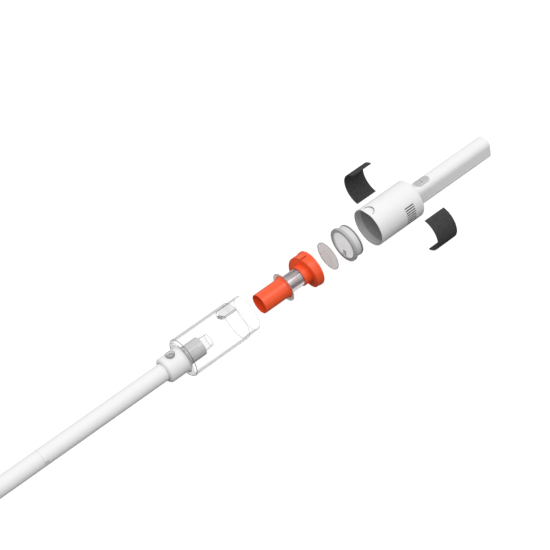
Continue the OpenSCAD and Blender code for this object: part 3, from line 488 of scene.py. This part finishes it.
# painted shade: dark grey for recess walls, slots, gaps and edge lines where shade falls
PAINTED_SHADE = moulded("deep_grey_painted_shade", (0.13, 0.13, 0.135), 0.6, grain=0.01, shift=0.05)
# painted shade: a darker grey for the inside of the motor body's bore
BORE_PAINTED_SHADE = moulded("inner_grey_painted_shade", (0.40, 0.40, 0.405), 0.6, grain=0.02, shift=0.04)
# painted shade: a softer grey for key and filter edges, the key opening and fine dark lines
SOFT_PAINTED_SHADE = moulded("soft_grey_painted_shade", (0.36, 0.36, 0.365), 0.5, grain=0.01, shift=0.05)
# painted shade: a dark orange for the shaded deep floor of the cyclone head's slot
SLOT_PAINTED_SHADE = moulded("slot_orange_painted_shade", (0.30, 0.022, 0.006), 0.6, grain=0.01, shift=0.05)
# Darker finishes for the bevels of these nodes: painted shade along their edges.
EDGE_PAINTED_SHADE = {
    "dust_cup": PAINTED_CLEAR_EDGE, "inlet_nozzle": PAINTED_CLEAR_EDGE, "inlet_duct": PAINTED_SHADE, "filter_frame": SOFT_PAINTED_SHADE,
    "filter_tab": PAINTED_SHADE, "cup_latch": SOFT_PAINTED_SHADE, "power_key": SOFT_PAINTED_SHADE, "mode_key": SOFT_PAINTED_SHADE,
}
for node in ("power_key", "mode_key"):
    FINISH_OF[node] = KEY_GREY
for node in ("filter_frame", "filter_tab", "wand_joiner"):
    FINISH_OF[node] = LIGHT_GREY
FINISH_OF["prefilter_mesh"] = OPEN_MESH
FINISH_OF["cup_latch"] = PALE_GREY
FINISH_OF["inlet_duct"] = GLOSSY_GREY
FINISH_OF["collar_button"] = MID_GREY
FINISH_OF["mouth_seal"] = MID_GREY
FINISH_OF["mouth_ring"] = moulded("mouth_grey", (0.60, 0.60, 0.605), 0.5, grain=0.02, shift=0.04)
for node, obj in NODES.items():
    obj.data.materials.clear()
    obj.data.materials.append(FINISH_OF[node])

# ---------------------------------------------------------------- pieces


def own(piece, node):
    """The piece stands for a CAD node and rides on its body."""
    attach(piece, BODY_OF[node])
    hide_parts(node)
    return piece


BROKEN_EDGES = {
    "lower_wand_tube": 0.25, "upper_wand_tube": 0.25, "wand_joiner": 0.2, "wand_end_spigot": 0.4,
    "neck_collar": 0.35, "collar_button": 0.8, "dust_cup": 0.3, "cup_latch": 0.25, "inlet_duct": 0.3,
    "inlet_nozzle": 0.3, "flap_seat": 0.2, "inlet_flap": 0.2, "cyclone_tube": 0.3, "riser_pipe": 0.25,
    "cyclone_head": 0.5, "mesh_screen": 0.1, "filter_frame": 0.35, "filter_tab": 0.2, "motor_housing": 0.2,
    "mouth_ring": 0.25, "filter_bulkhead": 0.25, "handle_sleeve": 0.3, "handle_end_cap": 0.4,
    "power_key": 0.3, "mode_key": 0.3, "light_lenses": 0, "charge_socket": 0.2,
}
FINISHED = {node: finished_copy(node, FINISH_OF[node], edge) for node, edge in BROKEN_EDGES.items()}


def shade_faces(node, material, test):
    """Gives another, darker finish to the faces that the test picks: painted shade. test(x, y, z, nx, ny,
    nz) is in millimetres from the mouth and the axis, and picks them by where they lie and which way they
    point."""
    mesh = FINISHED[node].data
    mesh.materials.append(material)
    last = len(mesh.materials) - 1
    for face in mesh.polygons:
        x, y, z = face.center[0] / MM - MOUTH_X / MM, face.center[1] / MM, (face.center[2] - AXIS_Z) / MM
        if test(x, y, z, *face.normal):
            face.material_index = last


def sideways(y, z, ny, nz):
    """How far a face points away from the axis, from 0 for a wall that stands on the surface to 1 for the
    skin."""
    return abs(y * ny + z * nz) / max(math.hypot(y, z), 1e-6)


def from_mouth(node):
    """The node's two ends along the axis, in millimetres from the mouth."""
    return (low(node)[0] - MOUTH_X) / MM, (high(node)[0] - MOUTH_X) / MM


# Where the cuts lie, in millimetres from the mouth along X and from the axis across it.
SHELL = (high("dust_cup")[2] - low("dust_cup")[2]) / 2 / MM
SHELL_WALL = 2.7
BODY_END, BORE_END = 90, 70
BORE_IN = 1.2
FLANGE_BAND, BAND_SEAT_R = 5.3, 31
KEY_OPENING_BASE, KEY_OPENING_HALF = 14, 9.6
BUTTON_BORE_BASE, BUTTON_BORE_R = 12, 7
LATCH_BASE, LATCH_HALF = 25, 12
KEYS_START, KEYS_END = from_mouth("power_key")[0] - 1, from_mouth("mode_key")[1] + 1
LATCH_START, LATCH_END = from_mouth("cup_latch")[0] - 6, from_mouth("cup_latch")[1] + 1
BUTTON = middle("collar_button")
BAND_END = from_mouth("filter_frame")[0] + FLANGE_BAND


def vent_and_scoop_walls(x, y, z, nx, ny, nz):
    """The walls that stand on the skin of the motor body, between its bore and its surface; they get painted
    shade.
    """
    return (1 < x < BODY_END and SHELL - SHELL_WALL < math.hypot(y, z) < SHELL - 0.02
            and sideways(y, z, ny, nz) < 0.5)


def body_bore(x, y, z, nx, ny, nz):
    """The inside of the motor body behind its mouth: the faces that look towards the axis, which get a
    darker grey as painted shade.
    """
    return math.hypot(y, z) < SHELL - BORE_IN and x < BORE_END and y * ny + z * nz < 0


def filter_front_and_band(x, y, z, nx, ny, nz):
    """The filter's front face, which gets a darker grey as painted shade, and the outside of the band round
    its flange, which gets the same grey.
    """
    return nx < -0.5 or (x < BAND_END and math.hypot(y, z) > BAND_SEAT_R)


def key_opening(x, y, z, nx, ny, nz):
    """The upright walls of the opening that the keys stand in, which get painted shade."""
    return z > KEY_OPENING_BASE and abs(nz) < 0.5 and abs(y) < KEY_OPENING_HALF and KEYS_START < x < KEYS_END


def button_bore(x, y, z, nx, ny, nz):
    """The upright walls of the round hole that the button stands in, which get painted shade."""
    from_button = math.hypot(x + (MOUTH_X - BUTTON[0]) / MM, y - BUTTON[1] / MM)
    return z > BUTTON_BORE_BASE and abs(nz) < 0.5 and from_button < BUTTON_BORE_R


def latch_recess(x, y, z, nx, ny, nz):
    """The upright walls of the recess that the cup's latch slides in, which get painted shade."""
    return (z > LATCH_BASE and abs(nz) < 0.6 and abs(y) < LATCH_HALF and sideways(y, z, ny, nz) < 0.5
            and LATCH_START < x < LATCH_END)


# Painted shade on the walls of cuts, the bore, the filter's front face and the cup's latch recess.
shade_faces("motor_housing", PAINTED_SHADE, vent_and_scoop_walls)
shade_faces("motor_housing", BORE_PAINTED_SHADE, body_bore)
shade_faces("filter_frame", FINISH["grey_plastic"], filter_front_and_band)
shade_faces("handle_sleeve", SOFT_PAINTED_SHADE, key_opening)
shade_faces("neck_collar", PAINTED_SHADE, button_bore)
shade_faces("dust_cup", PAINTED_CLEAR_EDGE, latch_recess)


def bead(name, node, path, size, material, closed=True):
    """A thin bead along a path of points in metres. Round each point lies a ring of the given radius, in
    the plane across the path; an open path ends in a point."""
    path = np.array(path, float)
    ahead = np.roll(path, -1, axis=0) - np.roll(path, 1, axis=0)
    if not closed:
        ahead[0], ahead[-1] = path[1] - path[0], path[-1] - path[-2]
    ahead /= np.linalg.norm(ahead, axis=1)[:, None]
    out = path - np.array([0, 0, AXIS_Z])
    out[:, 0] = 0
    out -= (out * ahead).sum(axis=1)[:, None] * ahead
    out /= np.maximum(np.linalg.norm(out, axis=1), 1e-9)[:, None]
    across = np.cross(ahead, out)
    reach = np.full(len(path), size * MM)
    if not closed:
        reach[0] = reach[-1] = 1e-6
    t = np.linspace(0, 2 * np.pi, 8, endpoint=False)[None, :, None]
    ring = path[:, None] + reach[:, None, None] * (np.cos(t) * out[:, None] + np.sin(t) * across[:, None])
    faces = grid_faces(len(path), 8, wrap_rows=closed, wrap_columns=True)
    piece = mesh_piece(name, ring.reshape(-1, 3), faces, material)
    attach(piece, BODY_OF[node])
    return piece


def circle_round_axis(x, radius, count=160):
    """A circle across the axis at x: at the angle a it lies radius times cos a across and radius times sin
    a up."""
    a = np.linspace(0, 2 * np.pi, count, endpoint=False)
    return np.stack([np.full(count, x), radius * MM * np.cos(a), AXIS_Z + radius * MM * np.sin(a)], axis=1)


def circle_on_top(x, y, radius, height, count=48):
    """A circle seen from above, laid on the surface whose height over the axis is height(y): at the angle a
    it lies radius times cos a along and radius times sin a across from its middle."""
    a = np.linspace(0, 2 * np.pi, count, endpoint=False)
    along, across = x / MM + radius * np.cos(a), y / MM + radius * np.sin(a)
    return np.stack([along * MM, across * MM, AXIS_Z + height(across) * MM], axis=1)


CUP_X, RIM_X = low("dust_cup")[0], high("dust_cup")[0]
DUCT_R = 17.4
FLANGE_X = low("filter_frame")[0]
FLANGE_R = (high("filter_frame")[1] - low("filter_frame")[1]) / 2 / MM
WAND_R = (high("upper_wand_tube")[1] - low("upper_wand_tube")[1]) / 2 / MM
SEAM_X = high("lower_wand_tube")[0]
# Thin dark rings of painted shade along edges, steps and seams of the parts.
LINES = (  # name, node, place along X, radius, thickness and finish of each line round the axis
    ("cup_front_line", "dust_cup", CUP_X + 3.4 * MM, SHELL - 0.75, 0.6, PAINTED_SHADE),
    ("cup_rim_line", "dust_cup", RIM_X - 0.4 * MM, SHELL - 2.9, 0.16, PAINTED_SHADE),
    ("cup_shoulder_line", "dust_cup", RIM_X - 25.6 * MM, SHELL - 0.5, 0.16, PAINTED_SHADE),
    ("duct_front_line", "inlet_duct", CUP_X + 6.5 * MM, DUCT_R, 0.45, PAINTED_SHADE),
    ("duct_second_line", "inlet_duct", CUP_X + 10 * MM, DUCT_R, 0.35, PAINTED_SHADE),
    ("duct_end_line", "inlet_duct", high("inlet_duct")[0] - 0.6 * MM, DUCT_R - 0.3, 0.3, PAINTED_SHADE),
    ("band_front_line", "filter_frame", FLANGE_X + 1.8 * MM, FLANGE_R - 0.2, 0.32, SOFT_PAINTED_SHADE),
    ("band_rear_line", "filter_frame", FLANGE_X + 3.6 * MM, FLANGE_R - 0.2, 0.32, SOFT_PAINTED_SHADE),
    ("wand_seam_line", "upper_wand_tube", SEAM_X, WAND_R - 0.1, 0.16, SOFT_PAINTED_SHADE),
)
for name, node, x, radius, size, material in LINES:
    bead(name, node, circle_round_axis(x, radius), size, material)

COLLAR_R = (high("neck_collar")[1] - low("neck_collar")[1]) / 2 / MM
BUTTON_R = (high("collar_button")[0] - low("collar_button")[0]) / 2 / MM
# Painted shade: a dark ring round the collar button where its hole falls in shade.
bead("button_shade_line", "neck_collar",
     circle_on_top(BUTTON[0], BUTTON[1], BUTTON_R + 0.4, lambda y: np.sqrt(COLLAR_R ** 2 - y * y) - 0.25),
     0.5, PAINTED_SHADE)


def fill_slot_with_painted_shade():
    """Painted shade in the slot on top of the cyclone head: a thin dark orange slab that fills the slot's
    width and stands for its shaded deep floor."""
    head_r, slot_depth, slot_w, beyond_ramp, length = 33, 2.2, 3.4, 3, 11.5
    end = high("volute_ramp")[0] / MM + beyond_ramp - 0.1
    top = head_r - slot_depth + 0.35
    corners = np.array([[a * MM, b * (slot_w / 2 - 0.05) * MM, AXIS_Z + c * MM]
                        for a in (end - length, end) for b in (-1, 1) for c in (top - 0.8, top)])
    sides = [[0, 1, 3, 2], [4, 6, 7, 5], [0, 4, 5, 1], [2, 3, 7, 6], [0, 2, 6, 4], [1, 5, 7, 3]]
    piece = mesh_piece("head_slot_painted_shade", corners, sides, SLOT_PAINTED_SHADE)
    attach(piece, BODY_OF["cyclone_head"])


fill_slot_with_painted_shade()


def scoop_edge_shade():
    """Painted shade along the edge of the finger scoop: a dark bead on half a circle on the shell's skin,
    open towards the mouth.
    """
    reach, half_width = 16.4, 11.5
    turn = np.linspace(-0.5 * np.pi, 0.5 * np.pi, 40)
    x = reach - half_width + half_width * np.cos(turn)
    y = half_width * np.sin(turn)
    z = np.sqrt(SHELL ** 2 - y ** 2) - 0.2
    path = np.stack([MOUTH_X + x * MM, y * MM, AXIS_Z + z * MM], axis=1)
    bead("scoop_edge_shade_line", "motor_housing", path, 0.55, PAINTED_SHADE, closed=False)


scoop_edge_shade()
KEY_TOP = high("power_key")[2]
KEY_SPLIT = (high("power_key")[0] + low("mode_key")[0]) / 2
DISH_R = 3.9
# Painted shade: a dark ring round each key's dish and a dark line in the gap between the two keys.
for key in ("power_key", "mode_key"):
    dish = circle_on_top(middle(key)[0], 0, DISH_R, lambda y: np.full_like(y, (KEY_TOP - AXIS_Z) / MM))
    bead(key + "_dish_shade_line", key, dish, 0.3, SOFT_PAINTED_SHADE)
split = np.linspace(-4.6, 4.6, 12)
bead("key_split_shade_line", "handle_sleeve",
     np.stack([np.full_like(split, KEY_SPLIT), split * MM, np.full_like(split, KEY_TOP)], axis=1),
     0.5, PAINTED_SHADE, closed=False)


def foam_pad(node, side):
    """Half a foam tube. Across the angle a and round a rounded section, a point lies at the section's
    radial and axial place. The ends close as the section thins to nothing over half the thickness, and the
    skin rises and falls a tenth of a millimetre with a sum of crossing sine waves."""
    box_low, box_high = low(node) / MM, high(node) / MM
    length = box_high[0] - box_low[0]
    outer = 34.7
    thick = 2.0
    half_angle = math.radians(82)
    centre_y = (box_high[1] if side > 0 else box_low[1]) - side * outer
    steps_round, steps_along = 150, 92
    a = np.linspace(-half_angle, half_angle, steps_round)[:, None]
    r0 = thick / 2
    from_end = (half_angle - np.abs(a)) * (outer - r0)
    thin = np.sqrt(np.clip(1 - (1 - np.clip(from_end / r0, 0, 1)) ** 2, 0, 1))
    t = np.linspace(-1, 1, steps_along)
    lengthwise = np.concatenate([t, t[::-1][1:-1]])[None, :]
    face = np.concatenate([np.ones(steps_along), -np.ones(steps_along - 2)])[None, :]
    edge_gap = (1 - np.abs(lengthwise)) * length / 2
    round_over = np.sqrt(np.clip(1 - (1 - np.clip(edge_gap / r0, 0, 1)) ** 2, 0, 1))
    x = lengthwise * (length / 2 - r0 * (1 - thin)) + (box_low[0] + box_high[0]) / 2
    ripple_height = 0.06 * (np.sin(a * 43 + x * 1.1) * np.sin(x * 0.83 - a * 21) + np.sin(a * 67 - x * 1.9))
    r = outer - r0 + face * (r0 - 0.06) * thin * round_over + ripple_height * thin * round_over
    y = centre_y + side * r * np.cos(a)
    z = AXIS_Z / MM + r * np.sin(a)
    points = np.stack(np.broadcast_arrays(x, y, z), axis=-1) * MM
    faces = grid_faces(steps_round, lengthwise.shape[1], wrap_columns=True)
    piece = mesh_piece(node + "_foam", points.reshape(-1, 3), faces, FINISH["foam"], sharp=60)
    return own(piece, node)


foam_pad("foam_pad_left", 1)
foam_pad("foam_pad_right", -1)


def skirt():
    """The thin skirt: a shallow cone with a rounded lip, carried round the axis."""
    x0 = (low("cyclone_skirt")[0] - MOUTH_X) / MM
    x1 = (high("cyclone_skirt")[0] - MOUTH_X) / MM
    thick, lip_round = 1, 0.3
    hub_r, web_r, lip_r = 16.9, 21.6, 27.7
    web_x = x1 - thick
    corners = [(web_x, hub_r, 0), (web_x, web_r), (x0, lip_r, lip_round),
               (x0 + thick, lip_r, lip_round), (x1, web_r), (x1, hub_r, 0)]
    return own(turned("cyclone_skirt_lip", rounded(corners, 0.6), FINISH["skirt_plastic"]), "cyclone_skirt")


skirt()


def mesh_disc():
    """The mesh disc: a very slightly domed sheet, thick at its welded rim. The dome falls with the square
    of the distance from the axis."""
    x0 = (low("prefilter_rim")[0] - MOUTH_X) / MM
    x1 = (high("prefilter_rim")[0] - MOUTH_X) / MM
    outer = (high("prefilter_rim")[2] - low("prefilter_rim")[2]) / 2 / MM
    rim_w, rim_round, dome_height, half_sheet = 1.2, 0.25, 0.1, 0.2
    rim = rounded([(x0, outer), (x1, outer), (x1, outer - rim_w), (x0, outer - rim_w)], rim_round)
    own(turned("mesh_disc_rim", rim, FINISH["mesh_cloth"]), "prefilter_rim")
    r = np.linspace(0, outer - 1.1, 24)
    dome = dome_height * (1 - (r / outer) ** 2)
    mid = (x0 + x1) / 2
    front = np.stack([mid - half_sheet - dome, r], axis=1)
    rear = np.stack([mid + half_sheet - dome, r], axis=1)[::-1]
    own(turned("mesh_disc_sheet", np.concatenate([front, rear]), OPEN_MESH), "prefilter_mesh")


mesh_disc()

# ---------------------------------------------------------------- camera, floor and light

LOOK = Vector((0.3907, 0.6336, -0.6677)).normalized()
AXIS_SIDE = Vector((0, -0.7254, -0.6884)).normalized()
AXIS_RUN = AXIS_SIDE.cross(LOOK).normalized()
ROLL = math.radians(34.97)
CAMERA_DISTANCE = 3.48
AIM = Vector((0.16405, 0, AXIS_Z)) - 0.0261 * AXIS_SIDE


def camera():
    """Stands back from the aim along the look direction, rolled so that the machine's axis climbs to the
    right."""
    right = (math.cos(ROLL) * AXIS_RUN + math.sin(ROLL) * AXIS_SIDE).normalized()
    up = (math.sin(ROLL) * AXIS_RUN - math.cos(ROLL) * AXIS_SIDE).normalized()
    data = bpy.data.cameras.new("camera")
    data.lens = 130.9
    data.sensor_width = 36
    data.clip_end = 50
    obj = bpy.data.objects.new("camera", data)
    turn = Matrix((right, up, -LOOK)).transposed().to_4x4()
    obj.matrix_world = Matrix.Translation(AIM - CAMERA_DISTANCE * LOOK) @ turn
    bpy.context.scene.collection.objects.link(obj)
    bpy.context.scene.camera = obj


camera()


def floor():
    """A pale floor that glows evenly. Only the clear pieces and the steel screen take its glow."""
    size = 30
    points = np.array([[-size, -size, 0], [size, -size, 0], [size, size, 0], [-size, size, 0]], float)
    material, tree, bsdf = shader("pale_floor", Roughness=0.9)
    bsdf.inputs["Specular IOR Level"].default_value = 0
    where = add(tree, "ShaderNodeTexCoord").outputs["Object"]
    pale = between(tree, noise(tree, where, 0.8, 2), grey(0.16), grey(0.18))
    tree.links.new(pale, bsdf.inputs["Base Color"])
    bsdf.inputs["Emission Color"].default_value = grey(1)
    bsdf.inputs["Emission Strength"].default_value = 0.97
    mesh = bpy.data.meshes.new("floor")
    mesh.from_pydata(points.tolist(), [], [[0, 1, 2, 3]])
    mesh.materials.append(material)
    obj = bpy.data.objects.new("floor", mesh)
    bpy.context.scene.collection.objects.link(obj)
    glow = bpy.data.collections.new("lit_by_floor")
    takes_glow = {FINISH["clear_plastic"], FINISH["steel_mesh"]}
    for piece in bpy.context.scene.objects:
        if piece.type == "MESH" and takes_glow & set(piece.data.materials):
            glow.objects.link(piece)
    obj.light_linking.receiver_collection = glow


floor()


def softbox(name, place, aim, width, height, watts):
    data = bpy.data.lights.new(name, "AREA")
    data.shape = "RECTANGLE"
    data.size, data.size_y = width, height
    data.energy = watts
    obj = bpy.data.objects.new(name, data)
    obj.location = place
    obj.rotation_euler = (Vector(aim) - Vector(place)).to_track_quat("-Z", "Y").to_euler()
    bpy.context.scene.collection.objects.link(obj)


def light():
    """A white sky, and one long softbox above the axis and a little to the front."""
    world = bpy.data.worlds.new("studio")
    world.use_nodes = True
    tree = world.node_tree
    background = tree.nodes["Background"]
    background.inputs["Color"].default_value = grey(1)
    background.inputs["Strength"].default_value = 0.78
    bpy.context.scene.world = world
    softbox("key", (0.1, -1.3, 2.6), (0.1, 0, 0), 3.0, 1.6, 32)
    bpy.context.scene.view_settings.view_transform = "Standard"


light()
